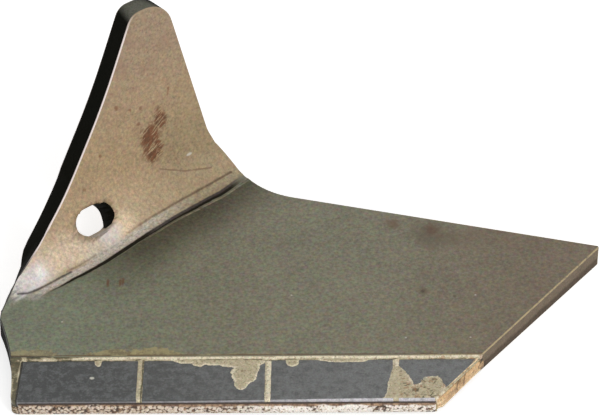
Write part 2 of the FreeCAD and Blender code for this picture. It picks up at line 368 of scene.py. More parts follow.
SHARED_GROUPS = {"Ragged spot": spot_group, "Scratch": scratch_group, "Scale grain": grain_group}


class Surface(Wires):
    """A material whose colour is built up in layers. Places are Object coordinates, turned into
    millimetres from the cutting edge's end."""

    def __init__(self, name):
        self.material = bpy.data.materials.new(name)
        self.material.use_nodes = True
        super().__init__(self.material.node_tree)
        self.object = self.add("ShaderNodeTexCoord", {})["Object"]
        self.mm = self.mapped(self.object, Location=tuple(-EDGE_END / MM), Scale=(1 / MM, 1 / MM, 1 / MM))
        self.x, self.y, self.z = self.split(self.mm)
        self.colour = None

    def stain(self, tone, strength, *masks):
        """Lays a tone over the colour where all the masks are high."""
        self.colour = self.mix(self.times(strength, *masks), self.colour, tone)

    def cloud(self, *settings, **others):
        """Noise whose scale goes with millimetres."""
        return self.noise(self.mm, *settings, **others)

    def spot(self, centre, half, ragged=0.6, soft=0.5, scale=0.5):
        """Mask of a ragged spot."""
        inputs = {"Vector": self.mm, "Centre": centre, "Half Size": half, "Raggedness": ragged,
                  "Softness": soft, "Noise Scale": scale}
        return self.group("Ragged spot", inputs)["Mask"]

    def line(self, half_width, *places):
        """Mask of a thin line through the places."""
        masks = []
        for start, end in zip(places, places[1:]):
            inputs = {"Vector": self.mm, "Start": start, "End": end, "Half Width": half_width}
            masks.append(self.group("Scratch", inputs)["Mask"])
        return self.most(*masks)

    def grain(self, tint, mottle_size, grain_size, amount, hue=0.2, tinted=0.2):
        """Grain over the colour so far. Returns its height."""
        inputs = {"Vector": self.mm, "Color": self.colour, "Tint": tint, "Mottle Size": mottle_size,
                  "Grain Size": grain_size, "Amount": amount, "Hue Amount": hue, "Tint Amount": tinted}
        made = self.group("Scale grain", inputs)
        self.colour = made["Color"]
        return made["Height"]

    def finish(self, rough, height, relief, strength, metallic=0, gloss=0.5):
        """Sets the shader, with a bump whose relief is in millimetres. Returns the material."""
        bump = self.add("ShaderNodeBump", {"Height": height, "Distance": relief * MM, "Strength": strength})
        self.put(self.tree.nodes["Principled BSDF"], {
            "Base Color": self.colour, "Roughness": rough, "Normal": bump["Normal"],
            "Metallic": metallic, "Specular IOR Level": gloss})
        return self.material


def scale_colours(look, blade):
    """Colours of the rolled sheet: olive to brown along the plate, and tan from the crease up.
    Returns places along the bend, above it and behind its crease, and the bend's coordinates."""
    turned = look.mapped(look.object, "TEXTURE", Location=tuple(EDGE_END + np.array(BEND_START) * MM),
                         Rotation=(0, 0, BEND_AZIMUTH), Scale=(MM, MM, MM))
    along, back, rise = look.split(turned)
    # Distance behind the crease's marks, whose line runs at a slight angle to the ear's
    crease = look.plus(back, look.minus(18.4, look.times(along, 0.1)))
    shift = 2.2
    # The line also bends a little from side to side
    for start, end, change in ((-5, 27, -1.05), (27, 60, 1.2), (70, 92, -0.95), (93, 103, 0.8)):
        shift = look.plus(shift, (along, start, end, 0, change))
    crease = look.minus(crease, shift)
    plate = look.mix((look.x, 10, 90), blade.plate_left, blade.plate_middle)
    plate = look.mix((look.x, 120, 215), plate, blade.plate_right)
    ear = look.mix((rise, 30, 75), blade.ear, blade.ear_top)
    ear = look.mix(look.times((along, 50, 90), (rise, 60, 20)), ear, (0.325, 0.24, 0.135))
    # The plate's colour climbs into the bend at its left end
    climb = look.minus(crease, (along, -4, -14, 0, 13))
    look.colour = look.mix((climb, -3.5, -2.3), plate, ear)
    return along, rise, crease, turned


def mark_foot(look, blade, along, crease, turned):
    """Marks of the press at the ear's foot, with painted highlights and painted shade. Returns masks of the
    painted highlight and of the painted shade, and how deep the pinched lines are."""
    across = look.plus(crease, look.swing(look.cloud(0.12), 1.2))
    higher = look.plus(across, look.swing(look.cloud(0.16), 5))
    drawn = look.mapped(turned, Scale=(0.3, 1, 1))
    streaks = look.noise(drawn, 0.9, 4, 0.65)
    # Lighter band where the tool pressed the foot of the ear, painted lighter still where it faces the lamp,
    # and the pale groove at the crease, a painted highlight
    look.stain(blade.foot, 1, (across, -2, 0), (across, 12, 2), (along, 80, 40, 0.1, 0.85),
               (along, -2, 6))
    groove = look.times((across, -3.1, -2.5), (look.minus(across, (along, 0, 50, 0.2, 1.3)), 0.4, -0.8),
                        (streaks, 0.3, 0.55, 0.5, 1), (look.plus(along, across), -9.5, -5))
    look.stain(look.mix((along, 45, 85), blade.groove, (0.33, 0.27, 0.165)), 0.92, groove)
    look.stain(blade.groove, 0.85, (across, 0, 1), (higher, 7.5, 3.5), (along, 20, 28),
               (along, 46, 37), (streaks, 0.3, 0.55, 0.4, 1))
    look.stain((0.22, 0.19, 0.15), 0.6, groove, (look.noise(drawn, 1.7, 3, 0.65), 0.52, 0.62))
    # Painted shade: nearly black on the groove's steep side, wider to the right; then a painted highlight on
    # its lip and painted shade on the plate in front
    lowest = look.plus((along, 0, 32, -3.3, -4.8), (along, 60, 85, 0, -1.3))
    below = look.minus(across, lowest)
    wall_shade = look.times((below, -0.35, 0.35), (across, -2.1, -2.9), (along, -5, 12, 0.1, 1),
                      (along, 105, 95))
    deepest_shade = look.most((across, -3.4, -4.6), (along, 60, 50))
    look.stain(look.mix(deepest_shade, (0.085, 0.072, 0.068), (0.008, 0.006, 0.004)), 0.95, wall_shade)
    # Painted highlight: a thin pale line along the groove's lip
    lip_highlight = look.times((below, -1.6, -1.2), (below, -0.3, -0.8), (streaks, 0.3, 0.55, 0.3, 1),
                     (along, 45, 60))
    look.stain((0.25, 0.215, 0.14), 0.9, lip_highlight, (along, 101, 90))
    # Painted shade on the plate in front of the ear, fading away from the crease
    plate_shade = look.times((across, -33, -6), (below, 0, -0.6), (along, 5, 50),
                      (along, 122, 100, 0.25, 1), look.minus(1, look.times(lip_highlight, 0.9)))
    look.stain((0.04, 0.032, 0.018), 0.7, plate_shade)
    look.stain((0.3, 0.295, 0.25), 0.85, look.spot((3.8, 58.3, 10.4), (4.2, 2.4, 3), 0.7))
    # Pinched lines that the bend left along the foot: dented by the bump, and darkened with painted shade as
    # creases
    upper_line = look.line(0.95, (80.8, 132.4, 10.7), (72.4, 124.9, 10.8), (60.4, 114.4, 11.1),
                           (49.3, 104.4, 11.2), (39.9, 95.3, 11))
    lower_line = look.line(0.9, (18, 72.5, 10.1), (14.5, 69.6, 10.2), (9.1, 64.8, 10.4), (4.4, 61, 10.7),
                           (1.6, 59.2, 11), (-2.3, 57.5, 12.1))
    inner_line = look.line(0.7, (16.3, 72, 10.8), (21.4, 76.4, 10.3), (27.5, 82, 10.6))
    look.stain((0.16, 0.1, 0.055), 0.7, inner_line)
    darker = look.between(along, 40, 75)
    look.stain(look.mix(darker, (0.2, 0.12, 0.065), (0.09, 0.05, 0.025)), (darker, 0, 1, 0.7, 0.92),
               upper_line)
    # Painted highlights where the ear's foot turns towards the light: peach, then pale next to the groove
    look.stain(blade.peach_highlight, 0.85, (across, 0.6, 3.5), (higher, 15, 6), (along, 66, 15), (along, -15, -9))
    warm_highlight = look.spot((37, 95.8, 13.3), (6.5, 6.5, 3.6), 0.3, 0.7, 0.2)
    look.stain((0.74, 0.57, 0.38), 0.85, warm_highlight, (across, 1, 2.5))
    pale_highlight = look.times((across, 0.2, 1.4), (higher, 11, 5), (along, 12, -1), (along, -16, -9))
    patch = look.spot((33.5, 92, 13.2), (5.5, 5, 3), 0.3, 0.6, 0.2)
    pale_highlight = look.most(pale_highlight, look.times(patch, 0.75))
    look.stain(blade.pale_highlight, 0.95, pale_highlight)
    # Painted highlight: a pale spot at the bend's left end
    look.stain((0.84, 0.79, 0.75), 0.75, look.spot((6, 67.2, 13.4), (2.4, 3.8, 4), 0.5, 0.7, 0.3))
    look.stain((0.1, 0.1, 0.095), 0.6, (along, -4, -12), (streaks, 0.42, 0.56), (across, 0, 2))
    # Painted shade: the lower pinched line is darkened nearly to black
    look.stain((0.035, 0.03, 0.03), 0.92, lower_line)
    foot_shade = look.most(wall_shade, look.times(plate_shade, 0.6))
    return pale_highlight, foot_shade, look.plus(look.times(upper_line, 1.5), look.times(lower_line, 2.5))


def stain_plate(look, blade):
    """Rust, specks, and the flux and braze that crept up over the step behind the tiles."""
    for x, y, half, tone, strength in (
        (147.7, 100.3, (2.6, 2.6, 3), (0.12, 0.055, 0.03), 0.55),
        (161.5, 93.5, (6.5, 7, 4), (0.085, 0.065, 0.038), 0.5),
        (163.5, 96.5, (2.8, 3, 4), (0.11, 0.05, 0.025), 0.6),
        (170.5, 91, (4.5, 3.5, 4), (0.1, 0.07, 0.04), 0.35),
        (186, 92, (20, 7, 4), (0.15, 0.095, 0.06), 0.22),
        (159.5, 59.8, (0.8, 0.9, 3), (0.028, 0.016, 0.012), 0.9),
        (159.9, 60.2, (2.2, 2, 3), (0.11, 0.07, 0.04), 0.5),
        (172, 57, (0.6, 0.8, 3), (0.06, 0.035, 0.025), 0.5),
    ):
        look.stain(tone, strength, look.spot((x, y, PLATE_TOP), half, 1, 0.6, 0.3 / math.sqrt(half[0] / 4)))
    for x, y in ((33.2, 65.8), (38.1, 66.2), (39.2, 66.8)):
        look.stain((0.13, 0.05, 0.02), 0.75, look.spot((x, y, PLATE_TOP), (0.55, 2.2, 3), 0.7, 0.5, 0.8))
    for x, y in ((16.1, 43.3), (152.5, 33), (178, 33), (180.4, 57.5), (107, 58)):
        look.stain((0.5, 0.48, 0.42), 0.8, look.spot((x, y, PLATE_TOP), (0.38, 0.38, 1), 0.4, 0.4, 1))
    flux = look.mix((look.cloud(0.35, 4, 0.65), 0.42, 0.6), blade.flux, (0.22, 0.165, 0.08))
    flecks = look.between(look.cloud(0.9, 3, 0.6), 0.6, 0.66)
    for x, y, half_x, half_y, strength in ((41, 23.4, 12, 4, 0.75), (5, 23.8, 11, 3.4, 0.6),
                                           (53, 23, 11, 4.6, 0.75), (26, 23, 9, 1.6, 0.5),
                                           (84, 23, 24, 1.7, 0.5)):
        mask = look.spot((x, y, PLATE_TOP), (half_x, half_y, 2), 0.95, 0.12, 0.45)
        look.stain(flux, strength, mask)
        look.stain((0.5, 0.44, 0.27), 0.7, mask, flecks)
    # Broken dark line along the step
    look.stain((0.1, 0.05, 0.024), 0.85, (look.y, 24.6, 23.6), (look.y, 20, 22.5),
               (look.cloud(0.15, 4), 0.4, 0.55))


def rust_ear(look, blade, rise, turned):
    """Rust rubbed onto the ear in slanting strokes, freckles round it, and a scratch below."""
    patches = [look.spot(centre, half, 0.7, 0.35, 0.4) for centre, half in (
        ((53.2, 125.8, 45.5), (2.6, 3.2, 5.5)), ((49.4, 121.6, 40), (4.6, 5.4, 5.4)),
        ((50.2, 120.8, 33.5), (4.6, 5.2, 6)))]
    # The strokes are noise drawn out along one direction of the ear's face
    lean = look.mapped(turned, Rotation=(0, math.radians(30), 0))
    strokes = look.noise(look.mapped(lean, Scale=(0.16, 0.7, 0.9)), 1, 4, 0.7)
    depth = look.cloud(0.55, 4, 0.65)
    look.stain(look.mix((depth, 0.42, 0.6, 0, 0.7), blade.rust, (0.075, 0.035, 0.014)), 0.95,
               look.most(*patches), (strokes, 0.4, 0.49))
    look.stain(blade.rust, 0.8, look.line(0.9, (56.9, 130.9, 57.6), (56.3, 130.2, 54.6)))
    for x, y, z, size in ((36.6, 116, 59.5, 1), (41.7, 119.1, 55.8, 0.7), (45.8, 122, 54.4, 0.8),
                          (44.7, 119.8, 47.8, 0.9), (29.6, 107, 41.9, 0.7), (23, 98.8, 30.9, 0.8)):
        look.stain(blade.rust, 0.6, look.spot((x, y, z), (size, size, size), 0.8, 0.5, 0.9))
    freckles = look.cloud(0.7, 2, offset=(3, 8, 1))
    look.stain((0.27, 0.13, 0.08), 0.5, (freckles, 0.62, 0.7), (rise, 14, 60))
    blotches = look.cloud(0.2, 4, offset=(13, 2, 7))
    look.stain((0.3, 0.18, 0.115), 0.4, (blotches, 0.5, 0.65), (rise, 14, 60))
    look.stain((0.18, 0.105, 0.06), 0.8,
               look.line(0.6, (52.6, 119.6, 23.7), (62.4, 124.5, 18.3), (72.8, 130.5, 14.8)))
    look.stain((0.6, 0.56, 0.48), 0.8, look.spot((64.1, 129, 23.6), (1.3, 1.3, 0.6), 0.4, 0.4, 1))


def scale_material(blade):
    """Mill scale on the sheet's faces, with the wear, stains and rust that the share has, and painted
    highlights and shade at the ear's foot.
    """
    look = Surface("mill_scale")
    along, rise, crease, turned = scale_colours(look, blade)
    pale_highlight, foot_shade, pinched = mark_foot(look, blade, along, crease, turned)
    height = look.grain((0.26, 0.15, 0.09), 16, 1.2, (pale_highlight, 0, 0.5, 0.46, 0.3),
                        (crease, -6, -3, 0.45, 0.25), (look.x, 60, 200, 0.08, 0.22))
    stain_plate(look, blade)
    rust_ear(look, blade, rise, turned)
    rough = look.between(look.cloud(0.25, 4, 0.6), 0.3, 0.7, 0.52, 0.68)
    rough = look.minus(rough, look.times(pale_highlight, 0.2))
    return look.finish(rough, look.minus(height, pinched), 0.14, 0.5, 0.1, (foot_shade, 0, 1, 0.5, 0.04))


def slot_places(look):
    """Distance from the slot's middle, and 1 on its lower side falling to 0 from its middle up."""
    away = look.vector_math("SUBTRACT", look.mm, SLOT_CENTRE)
    lower = look.times((look.dot(away, SLOT_CLIMB), -4, -5.2), (look.dot(away, BEND_RUN), 5.5, 4))
    return look.length(away), lower


def sheared_material(blade):
    """Sheared sides of the sheet: painted nearly black on the left as shade, brown on the right, with upright
    marks.
    """
    look = Surface("sheared_side")
    right = look.between(look.x, 58, 66)
    look.colour = look.mix(right, blade.shaded_left_side, blade.side_right)
    look.stain((0.15, 0.15, 0.12), 1, (look.z, 93, 96))
    # The lower half tore away rather than being cut, and is darker
    ragged = look.plus(look.z, look.times(look.cloud(0.3, 4), 3))
    look.stain((0.06, 0.045, 0.035), 0.65, (ragged, 7, 4.5), right)
    # The slot's lower wall is painted as pale as the painted highlight beside it
    from_slot, lower = slot_places(look)
    look.stain(blade.pale_highlight, 1, (from_slot, 13, 12), lower)
    # Splashes at the front left corner
    flecks = look.mix((look.cloud(0.9, 4, 0.65), 0.44, 0.54), (0.14, 0.09, 0.05), (0.62, 0.52, 0.38))
    look.stain(flecks, 1, look.spot((0, 0, 3.5), (3.4, 2.8, 6), 0.7, 0.3, 0.8))
    look.grain((0.26, 0.17, 0.12), 5, 0.7, 0.4, 0.2, (look.x, 58, 66, 0, 0.3))
    marks = look.noise(look.mapped(look.mm, Scale=(2.2, 2.2, 0.18)), 1, 3, 0.6)
    return look.finish((marks, 0.3, 0.7, 0.6, 0.8), marks, 0.15, 0.6, gloss=0.02)


def corner_material(blade):
    """Rubbed corners of the sheet: bare metal showing through in places, tan along the right side's top edge,
    where it also stands in for a highlight, a painted highlight on the ear's left corner and painted shade at
    the slot's rim.
    """
    look = Surface("rubbed_and_lit_corner")
    along, rise = scale_colours(look, blade)[:2]
    wear = look.cloud(0.6, 4, 0.7)
    # Tan where the scale is rubbed, strongest to the right, where it also serves as the painted highlight on
    # the right side's top edge
    look.stain(blade.bare_edge, 1, (wear, 0.3, 0.55), (look.x, 150, 166, 0.1, 0.85))
    # Painted shade darkens the slot's rim and a painted highlight brightens the ear's left corner; the
    # plate's left corner is dark
    from_slot, lower = slot_places(look)
    look.stain((0.05, 0.04, 0.03), 1, (from_slot, 14, 12.5), (lower, 1, 0, 0.15, 0.8))
    look.stain(blade.painted_edge_highlight, 1, (along, 72, 64), (rise, 1, 5), (wear, 0.2, 0.4, 0.7, 1),
               (from_slot, 12.5, 14))
    look.stain((0.02, 0.02, 0.015), 0.92, (look.x, 14, 10), (look.y, 76, 68))
    return look.finish((wear, 0.3, 0.7, 0.4, 0.6), wear, 0.1, 0.4, metallic=0.1)


def carbide_material(tiles):
    """Pressed carbide: blue-grey with cloudy mottling, lighter to the right."""
    look = Surface("pressed_carbide")
    x, y, z = look.x, look.y, look.z
    look.colour = look.mix((x, 0, 150), tiles.dark, tiles.light)
    cloud = look.cloud(0.38, 5, 0.7)
    look.stain((0.22, 0.23, 0.235), 0.35, (cloud, 0.44, 0.62))
    look.stain((0.05, 0.053, 0.055), 0.45, (cloud, 0.5, 0.36))
    look.stain((0.6, 0.57, 0.5), 1, look.spot((29.6, 12, 9.1), (0.9, 0.7, 1), 0.4, 0.3, 1))
    # The front is in shade, with a rubbed line along its foot that is wider and paler to the right
    look.stain((0.02, 0.02, 0.02), 0.4, (y, 0.5, 0.1), (z, 9.05, 8.8), (x, 30, 70, 0.2, 1))
    worn = look.between(look.cloud(0.4), 0.3, 0.55, 0.6, 1)
    top = look.plus((x, 45, 150, 7.75, 8.8), look.times(worn, 0.1))
    further = look.plus((x, 40, 60, 0.25, 0.5), (x, 90, 130, 0, 0.38))
    look.stain(tiles.edge, 1, (look.minus(z, top), 0.2, -0.2), (y, 0.5, 0.1), worn, further)
    height = look.grain((0.2, 0.2, 0.19), 4.5, 0.7, 0.4, 0.15, 0.15)
    return look.finish((cloud, 0.3, 0.7, 0.48, 0.62), height, 0.08, 0.4)


def braze_material(name, dark, middle, light):
    """Brazing brass under a skin of flux. The piece's tone attribute runs from -1 in gaps to 1 on
    rubbed ridges, and picks between the three colours."""
    look = Surface(name)
    patch = look.cloud(0.9, 5, 0.7)
    tone = look.plus(look.attribute("tone"), look.swing(patch, 2.2))
    look.colour = look.mix((tone, -0.9, 0), dark, middle)
    look.stain(light, 1, (tone, 0.15, 1))
    pits = look.cloud(0.9, 4, 0.7, offset=(9, 4, 2))
    look.stain((0.17, 0.11, 0.05), 0.7, (pits, 0.54, 0.66))
    burnt = look.cloud(0.45, 5, 0.7, offset=(2, 6, 3))
    look.stain((0.34, 0.17, 0.07), 0.65, (burnt, 0.54, 0.62), (look.x, 148, 152))
    look.stain((0.02, 0.018, 0.012), 1, (tone, -1.3, -1.9))
    height = look.grain((0.3, 0.2, 0.1), 2.5, 0.6, 0.35)
    return look.finish((patch, 0.3, 0.7, 0.4, 0.6), height, 0.2, 0.6, metallic=0.1)


def hardfacing_material(bead):
    """Hard granules in a brown matrix. The piece's attributes say where grains are pale, how pale,
    and where it is darkened: the matrix between grains, and painted shade along its top under the tiles."""
    look = Surface("hard_granules")
    look.colour = look.mix((look.cloud(0.5, 4, 0.6), 0.35, 0.65), bead.brown, bead.tan)
    look.stain((0.035, 0.02, 0.012), 1, look.attribute("shade"))
    look.stain(look.mix(look.attribute("tone"), bead.cream, bead.white), 1, look.attribute("cream"))
    height = look.grain((0.35, 0.2, 0.11), 2.5, 0.5, 0.3)
    return look.finish((look.cloud(2, 3, 0.6), 0.3, 0.7, 0.45, 0.7), height, 0.15, 0.6)


def metre_length(name, text, default, low=0.0, high=1.0):
    """A length that the user can change, in metres."""
    return bpy.props.FloatProperty(name=name, description=text, default=default, min=low, max=high,
                                   unit="LENGTH", precision=5)


def colour_choice(name, text, default):
    """A colour that the user can change."""
    return bpy.props.FloatVectorProperty(name=name, description=text, default=default, size=3, min=0.0,
                                         max=1.0, subtype="COLOR")


class WingShareBlade(bpy.types.PropertyGroup):
    """Sizes and colours of the bent blade."""
    corner: metre_length("Corner", "Width of the rubbed corners", 0.0005, 0.0001, 0.001)
    plate_left: colour_choice("Plate, left", "Mill scale at the left end", (0.19, 0.205, 0.14))
    plate_middle: colour_choice("Plate, middle", "Mill scale in the middle", (0.2, 0.19, 0.13))
    plate_right: colour_choice("Plate, right", "Mill scale at the right tip", (0.178, 0.143, 0.097))
    ear: colour_choice("Ear", "Warm scale on the ear", (0.4, 0.285, 0.165))
    ear_top: colour_choice("Ear, top", "Warm scale at the ear's top", (0.325, 0.235, 0.15))
    # The foot's band: the press mark, painted lighter where it faces the lamp
    foot: colour_choice("Ear's foot", "Pressed band at the ear's foot", (0.45, 0.35, 0.22))
    # Painted highlight: the groove's pale colour
    groove: colour_choice("Groove", "Pale groove at the crease", (0.54, 0.5, 0.435))
    # Painted highlights at the ear's foot: peach, then pale where the bend turns to the light
    peach_highlight: colour_choice("Peach", "Scale rubbed thin beside the slot", (0.66, 0.515, 0.375))
    pale_highlight: colour_choice("Polish", "Metal rubbed pale by the press", (0.66, 0.61, 0.585))
    rust: colour_choice("Rust", "Rust spots and strokes", (0.18, 0.058, 0.02))
    flux: colour_choice("Flux", "Flux and braze left on the plate", (0.38, 0.32, 0.15))
    # Painted shade: the left side is coloured nearly black
    shaded_left_side: colour_choice("Left side", "Sheared side at the left", (0.006, 0.006, 0.004))
    side_right: colour_choice("Right side", "Sheared side at the right", (0.19, 0.15, 0.11))
    bare_edge: colour_choice("Rubbed corner", "Corner where the scale is rubbed", (0.46, 0.36, 0.19))
    # Painted highlight on the ear's left corner
    painted_edge_highlight: colour_choice("Bright corner", "Corner rubbed to bright metal", (0.85, 0.74, 0.7))


class WingShareTiles(bpy.types.PropertyGroup):
    """Sizes and colours of the carbide tiles."""
    corner: metre_length("Corner", "Rounding of a tile's edges", 0.00025, 0.00005, 0.001)
    dark: colour_choice("Left", "Carbide at the left end", (0.045, 0.047, 0.046))
    light: colour_choice("Right", "Carbide at the right end", (0.15, 0.152, 0.147))
    edge: colour_choice("Ground edge", "Rubbed front edge", (0.76, 0.735, 0.77))


class WingShareBraze(bpy.types.PropertyGroup):
    """Sizes and colours of the braze metal."""
    step: metre_length("Grid step", "Distance between the skin's points", 0.0004, 0.0002, 0.002)
    patch: metre_length("Patch thickness", "Thickness of the braze on the tiles", 0.00025, 0.0, 0.001)
    olive: colour_choice("Olive", "Braze in gaps and at the left end", (0.1, 0.09, 0.045))
    ochre: colour_choice("Ochre", "Flux-coated braze", (0.5, 0.43, 0.28))
    cream: colour_choice("Cream", "Rubbed ridges of the braze", (0.8, 0.72, 0.53))
    gold_dark: colour_choice("Gold, dark", "Gaps in the end band", (0.2, 0.12, 0.05))
    gold: colour_choice("Gold", "Bright braze down the end", (0.62, 0.4, 0.2))
    gold_light: colour_choice("Gold, light", "Ridges of the end band", (0.85, 0.68, 0.42))


class WingShareBead(bpy.types.PropertyGroup):
    """Sizes and colours of the hardfacing."""
    step: metre_length("Grid step", "Distance between points along the bead", 0.00022, 0.0001, 0.002)
    grain: metre_length("Grain", "Size of the granules", 0.00125, 0.0003, 0.003)
    relief: metre_length("Relief", "How far granules stand out", 0.0005, 0.0, 0.001)
    brown: colour_choice("Brown", "Matrix between the granules", (0.12, 0.058, 0.032))
    tan: colour_choice("Tan", "Lighter matrix", (0.46, 0.3, 0.18))
    cream: colour_choice("Cream", "Darker granules", (0.64, 0.5, 0.37))
    white: colour_choice("White", "Lightest granules", (0.95, 0.89, 0.81))


class WingShareStage(bpy.types.PropertyGroup):
    """Camera, lamps and floor."""
    distance: metre_length("Camera distance", "From the camera to its target", 1.6366, 0.2, 10.0)
    lens: bpy.props.FloatProperty(name="Lens", description="Focal length of the camera", default=240.0,
                                  min=20.0, max=500.0, unit="CAMERA")
    key: bpy.props.FloatProperty(name="Key light", description="Power of the front lamp", default=20.0,
                                 min=0.0, max=500.0, unit="POWER")
    fill: bpy.props.FloatProperty(name="Fill light", description="Strength of the surrounding light",
                                  default=0.55, min=0.0, max=2.0)
    floor: colour_choice("Floor", "Pale studio floor", (0.82, 0.82, 0.82))


class WingShareSettings(bpy.types.PropertyGroup):
    """All settings of the wing share."""
    blade: bpy.props.PointerProperty(type=WingShareBlade, name="Blade", description="The bent blade")
    tiles: bpy.props.PointerProperty(type=WingShareTiles, name="Tiles", description="The carbide tiles")
    braze: bpy.props.PointerProperty(type=WingShareBraze, name="Braze", description="The braze metal")
    bead: bpy.props.PointerProperty(type=WingShareBead, name="Hardfacing", description="The hardfacing")
    stage: bpy.props.PointerProperty(type=WingShareStage, name="Stage", description="Camera and lamps")


def set_camera(settings):
    """Camera at the photograph's angle: from the front, 42 degrees up, a little from the right."""
    climb, swing, roll = math.radians(41.556), math.radians(1.949), math.radians(-1.702)
    target = Vector((-0.00069, 0.038065, 0.01))
    towards = Vector((math.sin(swing) * math.cos(climb), -math.cos(swing) * math.cos(climb), math.sin(climb)))
    level = Vector((math.cos(swing), math.sin(swing), 0.0))
    upright = towards.cross(level)
    right = math.cos(roll) * level + math.sin(roll) * upright
    up = -math.sin(roll) * level + math.cos(roll) * upright
    data = bpy.data.cameras.new("view")
    data.lens = settings.lens
    data.sensor_width = 36.0
    data.sensor_fit = "HORIZONTAL"
    data.clip_end = 20.0
    camera = add_object("view", data)
    turn = Matrix((right, up, towards)).transposed().to_4x4()
    camera.matrix_world = Matrix.Translation(target + towards * settings.distance) @ turn
    bpy.context.scene.camera = camera


def add_lamp(name, position, size, power):
    """Square area lamp that looks at the part."""
    data = bpy.data.lights.new(name, "AREA")
    data.size = size
    data.energy = power
    lamp = add_object(name, data)
    lamp.location = position
    part_middle = Vector((0, 0, 0.02))
    lamp.rotation_euler = (part_middle - Vector(position)).to_track_quat("-Z", "Y").to_euler()


def seen_directly(wires):
    """1 for camera, mirror and see-through rays, 0 for the light that falls on surfaces."""
    rays = wires.add("ShaderNodeLightPath", {})
    return wires.most(rays["Is Camera Ray"], rays["Is Glossy Ray"], rays["Is Transmission Ray"])


class WINGSHARE_OT_stage(bpy.types.Operator):
    """Camera, lamps, white surroundings and a pale floor"""
    bl_idname = "wing_share.stage"
    bl_label = "Stage"

    def execute(self, context):
        settings = context.scene.wing_share.stage
        set_camera(settings)
        # A lamp to the right of the camera and low, so that the upright ear is lighter than the plate
        add_lamp("key", (1.1, -1.45, 0.95), 0.9, settings.key)
        world = bpy.data.worlds.new("surroundings")
        world.use_nodes = True
        context.scene.world = world
        wires = Wires(world.node_tree)
        wires.put(world.node_tree.nodes["Background"], {
            "Color": (1, 1, 1), "Strength": (seen_directly(wires), 0.0, 1.0, settings.fill, 1.0)})
        # Floor: a flat sheet whose rim bends up a little, far outside the view
        reach = 3.0
        radius = np.linspace(0.0, reach, 25)[:, None]
        angle = np.linspace(-math.pi, math.pi, 49)[None, :]
        rise = 0.02 * (radius / reach) ** 4
        disc = np.stack([radius * np.cos(angle), radius * np.sin(angle), rise + 0 * angle], axis=-1)
        mesh = closed_grid("floor", disc, disc - np.array([0, 0, 0.004]))
        cleaned = bmesh.new()
        cleaned.from_mesh(mesh)
        bmesh.ops.remove_doubles(cleaned, verts=cleaned.verts, dist=1e-6)
        cleaned.to_mesh(mesh)
        cleaned.free()
        floor = add_object("floor", mesh)
        look = Surface("studio_floor")
        darker = tuple(0.98 * value for value in settings.floor)
        look.put(look.tree.nodes["Principled BSDF"], {
            "Base Color": look.mix(look.noise(look.object, 300.0, 2.0), darker, settings.floor),
            "Roughness": 0.9, "Specular IOR Level": 0.0, "Emission Color": (1, 1, 1),
            "Emission Strength": look.times(seen_directly(look), 0.6)})
        mesh.materials.append(look.material)
        return {"FINISHED"}


def read(items, field, width=1, kind=float):
    """One field of all items as an array, with a row for each item where it has more values."""
    values = np.empty(len(items) * width, kind)
    items.foreach_get(field, values)
    return values.reshape(-1, width) if width > 1 else values


def draw_in_flank(mesh):
    """Moves the sheared left flank along the bend, as bending does: its front corner comes in near
    the foot, and its back corner comes in at the foot and stands out above it. A point between the
    corners moves by the mean of both, weighted with its distances to them. The slot's front and
    back rims then move along the sheet as whole loops, most at their lower side."""
    points = read(mesh.vertices, "co", 3)
    normals = read(mesh.polygons, "normal", 3)
    kinds = read(mesh.polygons, "material_index", kind=int)
    corners = read(mesh.loops, "vertex_index", kind=int)
    faces = np.repeat(np.arange(len(kinds)), read(mesh.polygons, "loop_total", kind=int))

    def touched(chosen):
        """Which points the chosen faces have."""
        mask = np.zeros(len(points), bool)
        mask[corners[chosen[faces]]] = True
        return mask

    along = np.array(BEND_RUN)
    # Front and top faces of the sheet look this way, back and lower ones the other way
    outwards = np.array([0.42, -0.56, 0.71])
    upwards = normals @ outwards > 0
    where = (read(mesh.polygons, "center", 3) - EDGE_END) / MM
    slot = np.linalg.norm(where - SLOT_CENTRE, axis=1) < 13.0
    flank = (kinds == SHEARED) & (normals @ along < -0.3) & (where[:, 0] < 60) & (where[:, 2] > 5.5)
    flank &= (where[:, 1] > 45) & (where[:, 1] < 110) & ~slot
    on_front, on_back = touched((kinds == SCALE) & upwards), touched((kinds == SCALE) & ~upwards)
    moved = touched(flank)
    front, behind = moved & on_front, moved & on_back
    places = (points - EDGE_END) / MM

    def distance(mask):
        """Distance from each moved point to the nearest point of the mask."""
        return np.linalg.norm(places[moved][:, None] - places[mask][None], axis=2).min(axis=1)

    share = distance(front) / (distance(front) + distance(behind) + 1e-9)
    y = places[moved][:, 1]
    at_front = np.interp(y, (49, 52, 56, 70, 78, 84), (0.0, 1.0, 1.7, 1.5, 1.4, 0.0))
    at_back = np.interp(y, (49, 57.7, 65.5, 73.2, 78.2, 81.9, 85.7, 91.8, 99, 104),
                        (0.0, 1.3, 3.4, 2.2, -0.5, -2.2, -2.5, -1.8, -0.9, 0.0))
    shift = (1 - share) * at_front + share * at_back
    points[moved] += shift[:, None] * MM * along

    # The slot was punched from the front: its rim is smaller there than behind
    rim = touched((kinds == SHEARED) & slot)
    climb = np.array(SLOT_CLIMB) / np.linalg.norm(SLOT_CLIMB)
    for mask, low, right in ((rim & on_front, 1.2, 0.0), (rim & on_back, -1.5, -1.6)):
        middle = points[mask].mean(axis=0)
        side, ahead = ((points[mask] - middle) @ axis / MM for axis in (climb, along))
        side, ahead = side / np.abs(side).max(), ahead / np.abs(ahead).max()
        move = (low * ease(-1.3 * side))[:, None] * climb + (right * ease(ahead))[:, None] * along
        points[mask] += move * MM
    mesh.vertices.foreach_set("co", points.ravel())
    mesh.update()


